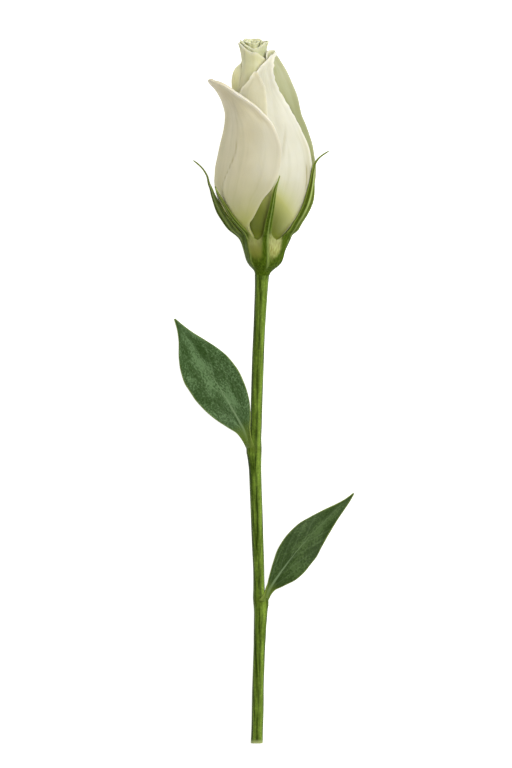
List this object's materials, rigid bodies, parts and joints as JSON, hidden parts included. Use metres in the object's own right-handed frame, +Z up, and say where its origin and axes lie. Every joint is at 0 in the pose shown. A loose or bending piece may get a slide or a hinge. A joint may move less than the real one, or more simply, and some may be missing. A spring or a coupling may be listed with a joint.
{
  "type": "lisianthus flower",
  "caption": "Half-open cream lisianthus bloom in a keeled green calyx on a cut stem with leaves, lying on its side on a surface.",
  "frame": {"origin": "middle of the flower's footprint, on the surface that it lies on", "axes": "+Z up from the surface, +Y along the stem from its cut end towards the bloom, +X to the right as seen from above with the bloom at the top"},
  "size_m": [0.049, 0.1904, 0.0274],
  "materials": {
    "petal_cream": "soft, faintly waxy petal skin",
    "calyx_green": "fleshy green with a pale skin between darker keels",
    "stem_green": "smooth waxy green stem",
    "leaf_green": "grey-green leaf skin with a waxy bloom",
    "pistil_green": "smooth pale green",
    "stamen_yellow": "matt yellow"
  },
  "bodies": {
    "root": {"stem": "stem_green", "calyx": "calyx_green", "leaf_upper": "leaf_green", "leaf_lower": "leaf_green", "petal_front_left": "petal_cream", "petal_inner_front": "petal_cream", "petal_front_right": "petal_cream", "petal_right": "petal_cream", "petal_back": "petal_cream", "petal_left": "petal_cream", "roll_front": "petal_cream", "roll_middle": "petal_cream", "roll_back": "petal_cream", "roll_heart": "petal_cream", "pistil": "pistil_green", "stamens": "stamen_yellow"}
  },
  "joints": []
}
